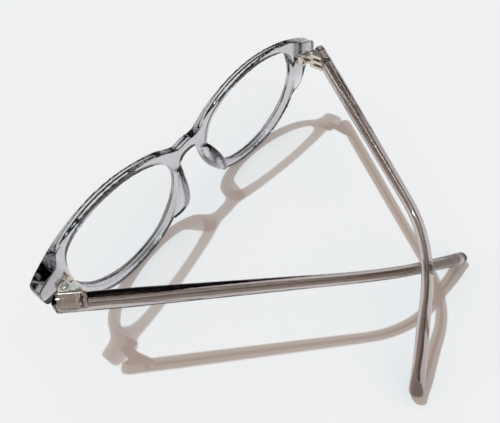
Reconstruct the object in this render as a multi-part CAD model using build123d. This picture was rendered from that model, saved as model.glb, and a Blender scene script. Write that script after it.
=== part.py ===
from build123d import *
import math
import os

# Acetate eyeglasses, standing on the rim bottoms and the temple tips with both temples half folded.
# +X is the wearer's left, +Y points back along the open temples, +Z is up. The surface is at z = 0.
# Everything is drawn with y = 0 at the front of the bridge and moved forward by HALF_DEPTH at the end.

# Front
BASE_RADIUS = 395.0  # curve of the front across its width
FRONT_THICKNESS = 3.4
END_BACK_Y = 11.0  # flat back of the end pieces, where the temples butt
END_FLAT_X = 62.6  # the flat back starts here
END_BLEND_X = 58.0  # and blends into the rims here
FRONT_HALF_WIDTH = 69.6
END_BULGE = 0.4  # how far the end piece's outer side is rounded out

# Lenses
LENS_THICKNESS = 1.3
LENS_DEPTH = 1.7  # middle of the lens behind the front's face
LENS_BITE = 0.55  # how far the lens goes into the groove
GROOVE_GAP = 0.05

# Hinge
HINGE_X = 63.3
HINGE_Y = 14.5
HINGE_Z = 31.5
HINGE_TILT = 6.0  # the pin's top leans towards the front
BARREL_RADIUS = 1.5
BARREL_PITCH = 1.2
BARREL_GAP = 0.06
SCREW_RADIUS = 0.7
PIN_CLEARANCE = 0.04
SCREW_HEAD_RADIUS = 1.3
SCREW_HEAD_HEIGHT = 0.45
SLOT_LENGTH = 1.9
SLOT_WIDTH = 0.4
SLOT_DEPTH = 0.25
LEAF_HEIGHT = 4.8
LEAF_CORNER = 1.0
FRONT_LEAF_WIDTH = 5.0
FRONT_LEAF_X = -1.2  # middle of the front leaf, from the pin
FRONT_LEAF_DEPTH = 1.8
FRONT_LEAF_PROUD = 0.6  # how far it stands out of the end piece
EAR_TAIL = 5.2  # length of the temple leaf's ears behind the pin
RIVET_RADIUS = 0.55
RIVET_HEAD_RADIUS = 0.8
RIVET_HEAD_HEIGHT = 0.35
FRONT_RIVET_X = -2.7  # from the pin
FRONT_RIVET_RISE = 1.3  # above and below the middle of the leaf
FRONT_RIVET_LENGTH = 3.4
TEMPLE_RIVET_S = 7.4  # from the butt
TEMPLE_RIVET_RISE = 1.2
TEMPLE_RIVET_LENGTH = 2.9

# Temple
TEMPLE_OFFSET = 3.6  # centreline outside the hinge pin
TEMPLE_SLOPE = -1.58
BUTT_GAP = 0.25
STRAIGHT_LENGTH = 78.4
BEND_LENGTH = 30.0
BEND_ANGLE = 39.5
BEND_LEAN = 50.0  # 90 is straight down, 0 is straight in
TEMPLE_LENGTH = 137.7
LEAF_START = 0.6
LEAF_END = 9.0
LEAF_DEPTH = 1.0
LEAF_PROUD = 0.1  # how far the leaf stands out of the temple's inner face
CORE_START = 9.6
CORE_END = 133.0
LEFT_FOLD = 42.6
RIGHT_FOLD = 37.5

HALF_DEPTH = 53.2

SIN_TILT = math.sin(math.radians(HINGE_TILT))
COS_TILT = math.cos(math.radians(HINGE_TILT))

# Corners of the outline from the bridge to the end piece, as x and height
BROW = [(5.5, 32.4), (12.5, 36.2), (22.0, 39.5), (33.0, 41.7), (44.0, 42.0), (55.0, 40.5), (64.0, 37.6)]
END_TOP = (FRONT_HALF_WIDTH - END_BULGE, 34.9)
END_BOTTOM = (FRONT_HALF_WIDTH - END_BULGE, 28.6)
END_MIDDLE = (FRONT_HALF_WIDTH, 31.7)
CHEEK = [(64.4, 27.4), (61.9, 22.5), (59.6, 16.0), (55.0, 9.0), (46.0, 2.6), (34.0, 0.08), (23.0, 1.0)]
NOSE = [(15.0, 4.6), (9.4, 10.5), (6.6, 17.5), (5.2, 24.0), (3.2, 27.1)]
BRIDGE_TOP = 32.6
BRIDGE_UNDER = 27.7

# The lens opening, clockwise from its nose side
EYE = [
    (8.8, 22.0), (12.4, 31.2), (22.0, 36.8), (34.0, 39.4), (46.5, 39.1), (56.0, 35.2),
    (58.4, 24.0), (54.2, 13.8), (45.0, 6.2), (34.0, 3.0), (22.0, 4.6), (12.6, 12.2),
]

# Height and thickness at distances from the butt
TEMPLE_SIZES = [(0.0, 6.5, 3.9), (20.0, 6.6, 3.9), (80.0, 3.4, 3.4), (105.0, 3.1, 3.4), (TEMPLE_LENGTH, 4.8, 4.0)]
CORE_SIZES = [(CORE_START, 1.7, 0.9), (80.0, 1.1, 0.8), (CORE_END, 1.0, 0.8)]
SECTION_COUNT = 19
TIP_ROUND = 1.2

# Nose pad sections: height, nose-side x at the rim, then x and reach of the ridge behind the rim
PAD_SECTIONS = [
    (5.6, 13.6, 15.0, 1.2), (10.0, 9.8, 12.2, 4.4), (15.0, 7.4, 10.6, 6.0),
    (20.0, 6.3, 9.4, 5.2), (25.0, 5.4, 7.6, 2.2),
]
PAD_BASE_WIDTH = 2.6


def slab(drawing, low_y, high_y):
    """A drawing in x and height, extruded between two depths."""
    return Pos(0, high_y, 0) * Rot(90, 0, 0) * extrude(drawing, high_y - low_y)


def sheet_y(x):
    """Depth of the front's curved face at x."""
    return BASE_RADIUS - math.sqrt(BASE_RADIUS**2 - x**2)


def curved_layer(low, high):
    """The space between two depths behind the front's curved face."""
    outer = Cylinder(BASE_RADIUS - low, 60)
    inner = Cylinder(BASE_RADIUS - high, 60)
    return Pos(0, BASE_RADIUS, 20) * (outer - inner)


def smooth_run(points, before=None, after=None):
    """Cubic arcs through the points, each leaving along the line between its neighbours.

    before and after are the points that steer the two ends, or None for a closed loop."""
    closed = before is None
    count = len(points)
    ahead = points[1:] + [points[0] if closed else after]
    behind = [points[-1] if closed else before] + points[:-1]
    pull = [((a[0] - b[0]) / 6, (a[1] - b[1]) / 6) for a, b in zip(ahead, behind)]
    arcs = []
    for i in range(count if closed else count - 1):
        j = (i + 1) % count
        (x0, z0), (x1, z1) = points[i], points[j]
        arcs.append(Bezier(
            (x0, z0), (x0 + pull[i][0], z0 + pull[i][1]), (x1 - pull[j][0], z1 - pull[j][1]), (x1, z1),
        ))
    return arcs


def front_outline():
    """The front seen from ahead, without its lens openings."""
    top = [(0, BRIDGE_TOP)] + BROW + [END_TOP]
    under = [END_BOTTOM] + CHEEK + NOSE + [(0, BRIDGE_UNDER)]
    half = smooth_run(top, before=(-BROW[0][0], BROW[0][1]), after=END_MIDDLE)
    half += [ThreePointArc(END_TOP, END_MIDDLE, END_BOTTOM)]
    half += smooth_run(under, before=END_MIDDLE, after=(-NOSE[-1][0], NOSE[-1][1]))
    half += [Line((0, BRIDGE_UNDER), (0, BRIDGE_TOP))]
    right = make_face(Wire(half))
    return right + mirror(right, Plane.YZ)


def eye_opening(grow=0.0):
    """The left lens opening, grown by a margin all round."""
    points = EYE
    if grow:
        points = []
        for i, (x, z) in enumerate(EYE):
            ahead, behind = EYE[(i + 1) % len(EYE)], EYE[i - 1]
            run_x, run_z = ahead[0] - behind[0], ahead[1] - behind[1]
            scale = grow / math.hypot(run_x, run_z)
            points.append((x - run_z * scale, z + run_x * scale))
    return make_face(Wire(smooth_run(points)))


def back_y(x):
    """Depth of the rims' back face at x."""
    radius = BASE_RADIUS - FRONT_THICKNESS
    return BASE_RADIUS - math.sqrt(radius**2 - x**2)


def face_arc(depth_at, low_x, high_x):
    """An arc of the front's face or back, seen from above."""
    middle_x = (low_x + high_x) / 2
    return ThreePointArc((low_x, depth_at(low_x)), (middle_x, depth_at(middle_x)), (high_x, depth_at(high_x)))


def plan_profile():
    """The front seen from above: even rims, with thicker end pieces that have a flat back."""
    outer_x = FRONT_HALF_WIDTH + 1
    slope = END_BLEND_X / BASE_RADIUS
    right = Wire([
        face_arc(sheet_y, 0, outer_x),
        Line((outer_x, sheet_y(outer_x)), (outer_x, END_BACK_Y)),
        Line((outer_x, END_BACK_Y), (END_FLAT_X, END_BACK_Y)),
        Spline(
            (END_FLAT_X, END_BACK_Y), (END_BLEND_X, back_y(END_BLEND_X)),
            tangents=[(-1.0, 0.0), (-1.0, -slope)],
        ),
        face_arc(back_y, 0, END_BLEND_X),
        Line((0, FRONT_THICKNESS), (0, 0)),
    ])
    face = make_face(right)
    return face + mirror(face, Plane.YZ)


def front_blank():
    """The solid front before the hinges are let in."""
    plan = Pos(0, 0, -5) * extrude(plan_profile(), 60)
    body = slab(front_outline(), -2, 20) & plan
    for eye in (eye_opening(), mirror(eye_opening(), Plane.YZ)):
        body -= slab(eye, -5, 25)
    return body


def lens_layer(thickness):
    return curved_layer(LENS_DEPTH - thickness / 2, LENS_DEPTH + thickness / 2)


def lens():
    return slab(eye_opening(LENS_BITE), -5, 25) & lens_layer(LENS_THICKNESS)


def lens_groove():
    return slab(eye_opening(LENS_BITE + GROOVE_GAP), -5, 25) & lens_layer(LENS_THICKNESS + 2 * GROOVE_GAP)


def nose_pad():
    """A ridge glued behind the rim, lofted through level sections and cut flush with the rim's back."""
    sections = []
    for height, nose_x, ridge_x, reach in PAD_SECTIONS:
        back = back_y(ridge_x)
        outer_x = nose_x + PAD_BASE_WIDTH
        points = [
            (nose_x, back - 0.6),
            (nose_x + 0.35 * (ridge_x - nose_x) - 0.2, back + 0.55 * reach),
            (ridge_x - 0.1, back + reach),
            (ridge_x + 0.9, back + reach - 0.3),
            (0.5 * (outer_x + ridge_x) + 0.5, back + 0.45 * reach),
            (outer_x, back - 0.6),
        ]
        sections.append(Pos(0, 0, height) * make_face(Spline(*points, periodic=True)))
    behind_rim = Pos(0, BASE_RADIUS, 20) * Cylinder(BASE_RADIUS - FRONT_THICKNESS, 60)
    return loft(sections) & behind_rim


def hinge_frame():
    """Middle of the left hinge: Z along the pin, X outward, Y back."""
    return Plane(origin=(HINGE_X, HINGE_Y, HINGE_Z), x_dir=(1, 0, 0), z_dir=(0, -SIN_TILT, COS_TILT))


def barrel_levels(count):
    """Middles of every other barrel, counted so that three and two interleave."""
    return [(2 * i - count + 1) * BARREL_PITCH for i in range(count)]


def leaf_ears(profile, count, pin_radius):
    """Flat ears of one leaf, stacked along the pin and bored for the screw."""
    thickness = BARREL_PITCH - BARREL_GAP
    ears = []
    for level in barrel_levels(count):
        ears.append(Pos(0, 0, level - thickness / 2) * extrude(profile, thickness))
    stack = ears[0]
    for ear in ears[1:]:
        stack += ear
    return stack - Cylinder(pin_radius, 20)


def front_leaf_plate():
    """The part of the front leaf that is let into the end piece."""
    face_y = END_BACK_Y - HINGE_Y
    middle_y = face_y + FRONT_LEAF_PROUD - FRONT_LEAF_DEPTH / 2
    plate = Pos(FRONT_LEAF_X, middle_y, 0) * Box(FRONT_LEAF_WIDTH, FRONT_LEAF_DEPTH, LEAF_HEIGHT)
    return fillet(plate.edges().filter_by(Axis.Y), LEAF_CORNER)


def front_leaf():
    neck = Pos(0, (END_BACK_Y - HINGE_Y) / 2 + 0.2) * Rectangle(2 * BARREL_RADIUS, HINGE_Y - END_BACK_Y - 0.4)
    profile = Circle(BARREL_RADIUS) + neck
    ears = leaf_ears(profile, 2, SCREW_RADIUS + PIN_CLEARANCE)
    return hinge_frame() * (front_leaf_plate() + ears)


def rivet(length):
    """A rivet with its head above z = 0 and its shank below."""
    shank = Pos(0, 0, -length / 2) * Cylinder(RIVET_RADIUS, length)
    head = Pos(0, 0, RIVET_HEAD_HEIGHT / 2) * Cylinder(RIVET_HEAD_RADIUS, RIVET_HEAD_HEIGHT)
    head = fillet(head.edges().sort_by(Axis.Z)[-1], RIVET_HEAD_HEIGHT * 0.7)
    return shank + head


def front_rivets():
    """Two rivets at the nose end of the front leaf, heads on the plate."""
    face_y = END_BACK_Y - HINGE_Y + FRONT_LEAF_PROUD
    rivets = []
    for level in (-FRONT_RIVET_RISE, FRONT_RIVET_RISE):
        place = Plane(origin=(FRONT_RIVET_X, face_y, level), x_dir=(1, 0, 0), z_dir=(0, 1, 0))
        rivets.append(hinge_frame() * (place * rivet(FRONT_RIVET_LENGTH)))
    return rivets


def temple_place(s):
    """Section plane of the open left temple at distance s from the butt: X outward, Y up, Z along."""
    lean = math.radians(BEND_LEAN)
    bend_axis = Vector(-math.sin(lean), 0, math.cos(lean))
    turned = BEND_ANGLE * min(max((s - STRAIGHT_LENGTH) / BEND_LENGTH, 0), 1)
    radius = BEND_LENGTH / math.radians(BEND_ANGLE)
    towards = Vector(-math.cos(lean), 0, -math.sin(lean))
    angle = math.radians(turned)
    point = Vector(0, min(s, STRAIGHT_LENGTH), 0)
    point += Vector(0, radius * math.sin(angle), 0) + towards * (radius * (1 - math.cos(angle)))
    along = Vector(0, 1, 0).rotate(Axis((0, 0, 0), bend_axis), turned)
    outward = Vector(1, 0, 0).rotate(Axis((0, 0, 0), bend_axis), turned)
    point += along * max(s - STRAIGHT_LENGTH - BEND_LENGTH, 0)
    return Plane(origin=point, x_dir=outward, z_dir=along)


def temple_frame():
    """Where the open left temple's butt sits."""
    butt_y = END_BACK_Y + BUTT_GAP
    return Pos(HINGE_X + TEMPLE_OFFSET, butt_y, HINGE_Z) * Rot(TEMPLE_SLOPE, 0, 0)


def size_at(sizes, s):
    """Height and thickness at s, in proportion between the two sizes either side."""
    for (low, low_h, low_t), (high, high_h, high_t) in zip(sizes, sizes[1:]):
        if s <= high:
            share = (s - low) / (high - low)
            return low_h + share * (high_h - low_h), low_t + share * (high_t - low_t)
    return sizes[-1][1:]


def lofted_bar(sizes, corner):
    """A bar through evenly spaced rounded sections along the temple's centreline."""
    start, end = sizes[0][0], sizes[-1][0]
    sections = []
    for i in range(SECTION_COUNT):
        s = start + (end - start) * i / (SECTION_COUNT - 1)
        height, thickness = size_at(sizes, s)
        radius = corner * min(height, thickness)
        sections.append(temple_place(s) * RectangleRounded(thickness, height, radius))
    return loft(sections)


def temple_leaf_plate():
    """The part of the temple leaf that is let into the temple's inner face."""
    half = TEMPLE_SIZES[0][2] / 2
    middle_s = (LEAF_START + LEAF_END) / 2
    plate = Box(LEAF_DEPTH, LEAF_END - LEAF_START, LEAF_HEIGHT)
    plate = fillet(plate.edges().filter_by(Axis.X), LEAF_CORNER)
    return temple_frame() * (Pos(LEAF_DEPTH / 2 - half - LEAF_PROUD, middle_s, 0) * plate)


def temple_leaf():
    """Three teardrop ears on the plate, from the pin to a tail along the temple."""
    face_x = TEMPLE_OFFSET - TEMPLE_SIZES[0][2] / 2 + LEAF_PROUD
    tail = make_face(Polyline(
        (0, -BARREL_RADIUS), (face_x, -BARREL_RADIUS), (face_x, EAR_TAIL), (face_x - 0.5, EAR_TAIL),
        (-BARREL_RADIUS * 0.9, BARREL_RADIUS * 0.45), (0, -BARREL_RADIUS),
    ))
    ears = leaf_ears(Circle(BARREL_RADIUS) + tail, 3, SCREW_RADIUS)
    return temple_leaf_plate() + hinge_frame() * ears


def temple_rivets():
    """Two rivets behind the ears, heads on the leaf, shanks into the temple."""
    face_x = LEAF_PROUD - TEMPLE_SIZES[0][2] / 2
    rivets = []
    for level in (-TEMPLE_RIVET_RISE, TEMPLE_RIVET_RISE):
        place = Plane(origin=(face_x, TEMPLE_RIVET_S, level), x_dir=(0, 1, 0), z_dir=(-1, 0, 0))
        rivets.append(temple_frame() * (place * rivet(TEMPLE_RIVET_LENGTH)))
    return rivets


def hinge_screw():
    """Pivot screw with a cross slot, its head on the top ear."""
    half_stack = 2.5 * BARREL_PITCH - BARREL_GAP / 2
    length = 2 * half_stack + 0.3
    shank = Pos(0, 0, half_stack - length / 2) * Cylinder(SCREW_RADIUS, length)
    head = Pos(0, 0, half_stack + SCREW_HEAD_HEIGHT / 2) * Cylinder(SCREW_HEAD_RADIUS, SCREW_HEAD_HEIGHT)
    head = fillet(head.edges().sort_by(Axis.Z)[-1], 0.2)
    for turn in (20, 110):
        head -= Pos(0, 0, half_stack + SCREW_HEAD_HEIGHT) * Rot(0, 0, turn) * Box(SLOT_LENGTH, SLOT_WIDTH, 2 * SLOT_DEPTH)
    return hinge_frame() * (shank + head)


def pin_axis():
    return Axis((HINGE_X, HINGE_Y, HINGE_Z), (0, -SIN_TILT, COS_TILT))


def as_shape(pieces):
    """One shape, or a group of separate solids."""
    return Compound(children=list(pieces)) if isinstance(pieces, list) else pieces


def turned(pieces, angle):
    return as_shape(pieces).rotate(pin_axis(), angle)


def flipped(pieces):
    return mirror(as_shape(pieces), Plane.YZ)


def save(pieces, name):
    export_step(Pos(0, -HALF_DEPTH, 0) * as_shape(pieces), f"parts/{name}.step")


def build_side(front):
    """All pieces of the left side at the open position, and the front cut to take them."""
    groove = lens_groove()
    front -= groove
    leaf = front_leaf()
    front -= hinge_frame() * front_leaf_plate()
    rivets = front_rivets()
    for rivet in rivets:
        front -= rivet
        leaf -= rivet
    temple = lofted_bar(TEMPLE_SIZES, 0.42)
    end = temple.faces().sort_by_distance(temple_place(TEMPLE_LENGTH).origin)[0]
    temple = temple_frame() * fillet(end.edges(), TIP_ROUND)
    core = temple_frame() * lofted_bar(CORE_SIZES, 0.35)
    temple -= core
    arm_leaf = temple_leaf()
    arm_rivets = temple_rivets()
    temple -= temple_leaf_plate()
    for rivet in arm_rivets:
        temple -= rivet
        arm_leaf -= rivet
    pieces = {"lens": lens(), "nose_pad": nose_pad(), "front_hinge": leaf, "front_rivets": rivets}
    arm = {
        "temple": temple, "wire_core": core, "temple_hinge": arm_leaf,
        "temple_rivets": arm_rivets, "hinge_screw": hinge_screw(),
    }
    return front, pieces, arm


def main():
    os.makedirs("parts", exist_ok=True)
    front, fixed, arm = build_side(front_blank())
    for name, shape in fixed.items():
        save(shape, f"left_{name}")
        save(flipped(shape), f"right_{name}")
    for name, shape in arm.items():
        save(turned(shape, LEFT_FOLD), f"left_{name}")
        save(flipped(turned(shape, RIGHT_FOLD)), f"right_{name}")
    half = Pos(100, 0, 0) * Box(200, 200, 200)
    left_half = front & half
    save(left_half + mirror(left_half, Plane.YZ), "front_frame")


main()
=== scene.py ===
import math

import bmesh
import bpy
from mathutils import Matrix, Vector


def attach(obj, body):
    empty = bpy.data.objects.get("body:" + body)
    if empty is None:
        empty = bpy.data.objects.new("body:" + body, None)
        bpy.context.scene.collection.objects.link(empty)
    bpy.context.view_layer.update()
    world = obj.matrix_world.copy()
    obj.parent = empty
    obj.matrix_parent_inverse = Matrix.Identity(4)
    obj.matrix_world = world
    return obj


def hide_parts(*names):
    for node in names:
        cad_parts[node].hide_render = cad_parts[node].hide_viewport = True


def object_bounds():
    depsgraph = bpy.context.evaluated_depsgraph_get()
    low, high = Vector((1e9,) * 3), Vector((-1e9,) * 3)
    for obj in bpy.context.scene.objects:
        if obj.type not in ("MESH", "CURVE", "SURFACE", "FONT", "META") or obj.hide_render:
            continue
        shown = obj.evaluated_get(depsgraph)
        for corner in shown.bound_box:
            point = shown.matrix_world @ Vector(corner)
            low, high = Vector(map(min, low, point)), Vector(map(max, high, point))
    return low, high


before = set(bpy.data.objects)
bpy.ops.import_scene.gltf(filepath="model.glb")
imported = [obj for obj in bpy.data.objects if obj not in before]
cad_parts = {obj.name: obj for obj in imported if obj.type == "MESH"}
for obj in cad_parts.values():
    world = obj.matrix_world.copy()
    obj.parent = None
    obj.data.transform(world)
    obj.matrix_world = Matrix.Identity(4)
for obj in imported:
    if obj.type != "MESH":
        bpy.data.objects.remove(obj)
cad_low, cad_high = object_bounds()

# Camera
CAMERA_AZIMUTH = 132.7
CAMERA_ELEVATION = 52.15
CAMERA_ROLL = -6.98
CAMERA_DISTANCE = 0.17108
CAMERA_TARGET = Vector((0.00256, -0.02208, 0.015))
CAMERA_LENS = 35.2

# Light
SUN_TRAVEL = Vector((-0.048, 0.384, -0.922))  # the way the sunlight goes
SUN_STRENGTH = 2.36
SUN_COLOUR = (0.78, 0.92, 1.0)
SUN_ANGLE = 1.2  # how wide the sun looks, in degrees, which sets how soft the shadows are
ROOM_LIGHT = (0.48, 0.38, 0.33)  # light bounced off warm walls
BACKGROUND = (0.86, 0.872, 0.875)
CEILING = (0.006, 0.006, 0.008)  # what gloss and clear plastic see overhead
HORIZON_GLOW = 0.02  # the walls stay pale up to here, with 0 level and 1 straight up
CEILING_START = 0.12  # and are as dark as the ceiling from here

# Table top
FLOOR_SIZE = 3.0
FLOOR_GAP = 0.0002  # how far it lies under the glasses, so that the two don't share a face
FLOOR_LIGHT = (0.865, 0.870, 0.872)
FLOOR_DARK = (0.845, 0.862, 0.865)

# Polished acetate
FRONT_VOXEL = 0.0003
TEMPLE_VOXEL = 0.00026
SMOOTHING_STEPS = 18
WELD = 1e-6  # points closer than this are one point
ACETATE_DENSITY = 170.0  # how fast it takes light, per metre of depth
ACETATE_IOR = 1.49
POLISH_RELIEF = 0.000006  # unevenness left by polishing

# Coated lenses
LENS_LIGHT = (0.993, 0.995, 0.995)
LENS_DARK = (0.988, 0.991, 0.991)
LENS_GLOSS = (0.95, 0.97, 0.97)
LENS_GLOSS_FACING = 0.004  # share of light reflected face on
LENS_GLOSS_EDGE = 0.2  # and at a grazing view
LENS_GLOSS_POWER = 4.0  # how late the gloss sets in as the view turns to grazing


def material(name):
    """A new node material with one Principled shader, returned with its nodes and links."""
    made = bpy.data.materials.new(name)
    made.use_nodes = True
    tree = made.node_tree
    return made, tree, tree.nodes["Principled BSDF"]


def noise(tree, scale, detail=3.0, stretch=(1, 1, 1)):
    """Noise fixed to the piece, as a factor."""
    place = tree.nodes.new("ShaderNodeTexCoord")
    mapping = tree.nodes.new("ShaderNodeMapping")
    mapping.inputs["Scale"].default_value = stretch
    texture = tree.nodes.new("ShaderNodeTexNoise")
    texture.inputs["Scale"].default_value = scale
    texture.inputs["Detail"].default_value = detail
    tree.links.new(place.outputs["Object"], mapping.inputs["Vector"])
    tree.links.new(mapping.outputs["Vector"], texture.inputs["Vector"])
    return texture.outputs["Fac"]


def two_shades(tree, factor, low, high):
    """A colour between two others, each a plain shade or the output of another node."""
    mix = tree.nodes.new("ShaderNodeMix")
    mix.data_type = "RGBA"
    for end, shade in (("A", low), ("B", high)):
        if isinstance(shade, bpy.types.NodeSocket):
            tree.links.new(shade, mix.inputs[end])
        else:
            mix.inputs[end].default_value = (*shade, 1)
    tree.links.new(factor, mix.inputs["Factor"])
    return mix.outputs["Result"]


def larger(tree, first, second):
    """The larger of two values."""
    compare = tree.nodes.new("ShaderNodeMath")
    compare.operation = "MAXIMUM"
    tree.links.new(first, compare.inputs[0])
    tree.links.new(second, compare.inputs[1])
    return compare.outputs["Value"]


def mix_shaders(tree, share, first, second):
    """Sends the material a mix of two shaders, with this share of the second."""
    mix = tree.nodes.new("ShaderNodeMixShader")
    tree.links.new(share, mix.inputs["Fac"])
    tree.links.new(first.outputs["BSDF"], mix.inputs[1])
    tree.links.new(second.outputs["BSDF"], mix.inputs[2])
    tree.links.new(mix.outputs["Shader"], tree.nodes["Material Output"].inputs["Surface"])


def spread(tree, factor, low, high):
    """A noise factor stretched to run from low to high."""
    stretch = tree.nodes.new("ShaderNodeMapRange")
    stretch.inputs["From Min"].default_value = 0.3
    stretch.inputs["From Max"].default_value = 0.7
    stretch.inputs["To Min"].default_value = low
    stretch.inputs["To Max"].default_value = high
    tree.links.new(factor, stretch.inputs["Value"])
    return stretch.outputs["Result"]


def bump(tree, shader, factor, distance, strength=1.0):
    """Fine relief that follows a factor."""
    relief = tree.nodes.new("ShaderNodeBump")
    relief.inputs["Distance"].default_value = distance
    relief.inputs["Strength"].default_value = strength
    tree.links.new(factor, relief.inputs["Height"])
    tree.links.new(relief.outputs["Normal"], shader.inputs["Normal"])


def let_light_through(tree, shader, tint):
    """Lets sunlight and bounced light pass through a clear piece with a tint, so its shadow isn't black."""
    path = tree.nodes.new("ShaderNodeLightPath")
    light = larger(tree, path.outputs["Is Shadow Ray"], path.outputs["Is Diffuse Ray"])
    clear = tree.nodes.new("ShaderNodeBsdfTransparent")
    clear.inputs["Color"].default_value = (*tint, 1)
    mix_shaders(tree, light, shader, clear)


def acetate(name, light_shade, dark_shade, shadow_tint, depth_tint):
    """Translucent acetate with faint clouds of colour and a hand-polished surface."""
    made, tree, shader = material(name)
    clouds = spread(tree, noise(tree, 60, 2.0), 0.0, 1.0)
    tree.links.new(two_shades(tree, clouds, light_shade, dark_shade), shader.inputs["Base Color"])
    tree.links.new(spread(tree, noise(tree, 900, 4.0), 0.02, 0.07), shader.inputs["Roughness"])
    shader.inputs["Transmission Weight"].default_value = 1.0
    shader.inputs["IOR"].default_value = ACETATE_IOR
    bump(tree, shader, noise(tree, 250, 1.0), POLISH_RELIEF, 0.5)
    let_light_through(tree, shader, shadow_tint)
    depth = tree.nodes.new("ShaderNodeVolumeAbsorption")
    depth.inputs["Color"].default_value = (*depth_tint, 1)
    depth.inputs["Density"].default_value = ACETATE_DENSITY
    tree.links.new(depth.outputs["Volume"], tree.nodes["Material Output"].inputs["Volume"])
    return made


def clear_lens(name):
    """Thin clear plastic lens that barely bends light, with a trace of wiping marks in its gloss."""
    made, tree, shader = material(name)
    wipes = noise(tree, 120, 4.0, (1, 1, 4))
    tree.links.new(spread(tree, wipes, 0.01, 0.05), shader.inputs["Roughness"])
    shader.inputs["Base Color"].default_value = (*LENS_GLOSS, 1)
    shader.inputs["Metallic"].default_value = 1.0
    clear = tree.nodes.new("ShaderNodeBsdfTransparent")
    tree.links.new(two_shades(tree, wipes, LENS_DARK, LENS_LIGHT), clear.inputs["Color"])
    slant = tree.nodes.new("ShaderNodeLayerWeight")
    slant.inputs["Blend"].default_value = 0.5
    steep = tree.nodes.new("ShaderNodeMath")
    steep.operation = "POWER"
    steep.inputs[1].default_value = LENS_GLOSS_POWER
    tree.links.new(slant.outputs["Facing"], steep.inputs[0])
    gloss = tree.nodes.new("ShaderNodeMapRange")
    gloss.inputs["To Min"].default_value = LENS_GLOSS_FACING
    gloss.inputs["To Max"].default_value = LENS_GLOSS_EDGE
    tree.links.new(steep.outputs["Value"], gloss.inputs["Value"])
    mix_shaders(tree, gloss.outputs["Result"], clear, shader)
    return made


def metal(name, light_shade, dark_shade, roughness, grain_scale, relief):
    """Satin metal with a fine drawn grain."""
    made, tree, shader = material(name)
    grain = noise(tree, grain_scale, 4.0, (1, 1, 5))
    tree.links.new(two_shades(tree, grain, light_shade, dark_shade), shader.inputs["Base Color"])
    tree.links.new(spread(tree, grain, roughness * 0.7, roughness * 1.3), shader.inputs["Roughness"])
    shader.inputs["Metallic"].default_value = 0.85
    bump(tree, shader, grain, relief)
    return made


def paint(node, finish):
    """Gives a CAD node its finish."""
    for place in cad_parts[node].material_slots:
        place.material = finish


def shells_of(part):
    """The sets of points of a mesh that hang together."""
    waiting, shells = set(part.verts), []
    while waiting:
        edge_of_shell = [waiting.pop()]
        shell = set(edge_of_shell)
        while edge_of_shell:
            vert = edge_of_shell.pop()
            for edge in vert.link_edges:
                other = edge.other_vert(vert)
                if other not in shell:
                    shell.add(other)
                    edge_of_shell.append(other)
        waiting -= shell
        shells.append(shell)
    return shells


def reach(shell):
    """How far a set of points reaches in width plus depth."""
    xs = [v.co.x for v in shell]
    ys = [v.co.y for v in shell]
    return max(xs) - min(xs) + max(ys) - min(ys)


def outer_shells(nodes, name):
    """A copy of some CAD nodes as one object, each without the closed spaces inside it."""
    joined = bmesh.new()
    for node in nodes:
        part = bmesh.new()
        part.from_mesh(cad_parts[node].data)
        bmesh.ops.remove_doubles(part, verts=part.verts, dist=WELD)
        largest = max(shells_of(part), key=reach)
        inside = [v for v in part.verts if v not in largest]
        bmesh.ops.delete(part, geom=inside, context="VERTS")
        kept = bpy.data.meshes.new("part")
        part.to_mesh(kept)
        part.free()
        joined.from_mesh(kept)
        bpy.data.meshes.remove(kept)
    mesh = bpy.data.meshes.new(name)
    joined.to_mesh(mesh)
    joined.free()
    piece = bpy.data.objects.new(name, mesh)
    bpy.context.scene.collection.objects.link(piece)
    return piece


def polished(nodes, name, voxel):
    """Acetate nodes as one mesh, its edges rounded as tumbling and hand polishing leave them."""
    piece = outer_shells(nodes, name)
    remesh = piece.modifiers.new("remesh", "REMESH")
    remesh.mode = "VOXEL"
    remesh.voxel_size = voxel
    smooth = piece.modifiers.new("smooth", "SMOOTH")
    smooth.factor = 0.5
    smooth.iterations = SMOOTHING_STEPS
    shown = piece.evaluated_get(bpy.context.evaluated_depsgraph_get())
    piece.data = bpy.data.meshes.new_from_object(shown)
    piece.modifiers.clear()
    piece.data.shade_smooth()
    return piece


def add_acetate(nodes, name, voxel, body, finish):
    """A polished piece that stands for some CAD nodes and rides on their body."""
    piece = polished(nodes, name, voxel)
    piece.data.materials.append(finish)
    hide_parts(*nodes)
    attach(piece, body)


def add_floor():
    """A pale, faintly mottled table top."""
    bpy.ops.mesh.primitive_plane_add(size=FLOOR_SIZE, location=(0, 0, cad_low.z - FLOOR_GAP))
    floor = bpy.context.object
    floor.name = "floor"
    made, tree, shader = material("floor_paint")
    mottle = noise(tree, 9, 2.0)
    tree.links.new(two_shades(tree, mottle, FLOOR_DARK, FLOOR_LIGHT), shader.inputs["Base Color"])
    shader.inputs["Roughness"].default_value = 0.9
    shader.inputs["Specular IOR Level"].default_value = 0.0
    floor.data.materials.append(made)


def add_sun():
    """One cool sun. Its shadows look warm, because only the warm room light falls in them."""
    lamp = bpy.data.lights.new("sun", "SUN")
    lamp.energy = SUN_STRENGTH
    lamp.angle = math.radians(SUN_ANGLE)
    lamp.color = SUN_COLOUR
    sun = bpy.data.objects.new("sun", lamp)
    sun.rotation_mode = "QUATERNION"
    sun.rotation_quaternion = SUN_TRAVEL.to_track_quat("-Z", "Y")
    bpy.context.scene.collection.objects.link(sun)


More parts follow.
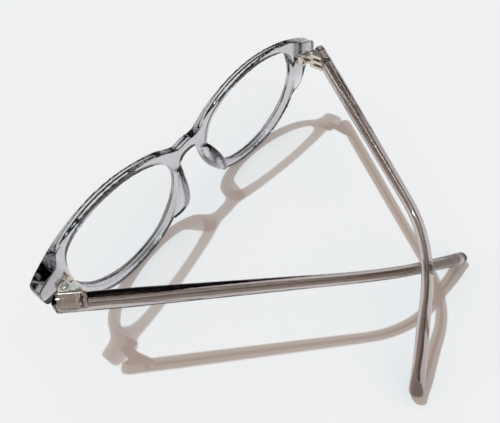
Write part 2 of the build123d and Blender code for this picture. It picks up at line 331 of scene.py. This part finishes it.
def add_room():
    """Soft room light: pale where seen directly, and darker overhead in gloss and through clear plastic."""
    world = bpy.data.worlds.new("room")
    world.use_nodes = True
    bpy.context.scene.world = world
    tree = world.node_tree
    shade = tree.nodes["Background"]
    place = tree.nodes.new("ShaderNodeTexCoord")
    axes = tree.nodes.new("ShaderNodeSeparateXYZ")
    rise = tree.nodes.new("ShaderNodeMapRange")
    rise.inputs["From Min"].default_value = HORIZON_GLOW
    rise.inputs["From Max"].default_value = CEILING_START
    path = tree.nodes.new("ShaderNodeLightPath")
    tree.links.new(place.outputs["Generated"], axes.inputs["Vector"])
    tree.links.new(axes.outputs["Z"], rise.inputs["Value"])
    overhead = two_shades(tree, rise.outputs["Result"], BACKGROUND, CEILING)
    through_plastic = larger(tree, path.outputs["Is Glossy Ray"], path.outputs["Is Transmission Ray"])
    unseen = two_shades(tree, through_plastic, ROOM_LIGHT, overhead)
    seen = two_shades(tree, path.outputs["Is Camera Ray"], unseen, BACKGROUND)
    tree.links.new(seen, shade.inputs["Color"])


def add_camera():
    """The camera looks along its azimuth and down, and is turned about its own axis by the roll."""
    azimuth, elevation, roll = (math.radians(a) for a in (CAMERA_AZIMUTH, CAMERA_ELEVATION, CAMERA_ROLL))
    level = Vector((-math.sin(azimuth), math.cos(azimuth), 0))
    ahead = level * math.cos(elevation) - Vector((0, 0, math.sin(elevation)))
    right = ahead.cross(Vector((0, 0, 1))).normalized()
    up = right.cross(ahead)
    side = right * math.cos(roll) + up * math.sin(roll)
    top = up * math.cos(roll) - right * math.sin(roll)
    lens = bpy.data.cameras.new("camera")
    lens.lens = CAMERA_LENS
    lens.clip_start = 0.01
    camera = bpy.data.objects.new("camera", lens)
    turn = Matrix((side, top, -ahead)).transposed().to_4x4()
    camera.matrix_world = Matrix.Translation(CAMERA_TARGET - ahead * CAMERA_DISTANCE) @ turn
    bpy.context.scene.collection.objects.link(camera)
    bpy.context.scene.camera = camera


add_camera()
add_floor()
add_sun()
add_room()
bpy.context.scene.view_settings.view_transform = "Standard"

# The tints of an acetate are for light that passes through to cast a shadow, and for depth
grey_acetate = acetate(
    "grey_acetate",
    light_shade=(0.94, 0.93, 0.94),
    dark_shade=(0.88, 0.87, 0.89),
    shadow_tint=(0.58, 0.57, 0.56),
    depth_tint=(0.52, 0.50, 0.52),
)
taupe_acetate = acetate(
    "taupe_acetate",
    light_shade=(0.88, 0.83, 0.82),
    dark_shade=(0.80, 0.74, 0.73),
    shadow_tint=(0.50, 0.50, 0.48),
    depth_tint=(0.42, 0.33, 0.31),
)
lens_plastic = clear_lens("lens_plastic")
hinge_metal = metal(
    "hinge_metal",
    light_shade=(0.86, 0.80, 0.70),
    dark_shade=(0.74, 0.68, 0.58),
    roughness=0.32,
    grain_scale=1500,
    relief=0.00001,
)
screw_metal = metal(
    "screw_metal",
    light_shade=(0.88, 0.86, 0.82),
    dark_shade=(0.78, 0.76, 0.72),
    roughness=0.2,
    grain_scale=2500,
    relief=0.000005,
)
core_metal = metal(
    "core_metal",
    light_shade=(0.66, 0.56, 0.48),
    dark_shade=(0.42, 0.35, 0.30),
    roughness=0.45,
    grain_scale=1200,
    relief=0.00003,
)

front_nodes = ["front_frame", "left_nose_pad", "right_nose_pad"]
add_acetate(front_nodes, "front_acetate", FRONT_VOXEL, "front", grey_acetate)
for side in ("left", "right"):
    temple = f"{side}_temple"
    add_acetate([temple], f"{temple}_acetate", TEMPLE_VOXEL, f"{side}_arm", taupe_acetate)
    paint(f"{side}_lens", lens_plastic)
    paint(f"{side}_wire_core", core_metal)
    paint(f"{side}_hinge_screw", screw_metal)
    for name in ("front_hinge", "front_rivets", "temple_hinge", "temple_rivets"):
        paint(f"{side}_{name}", hinge_metal)
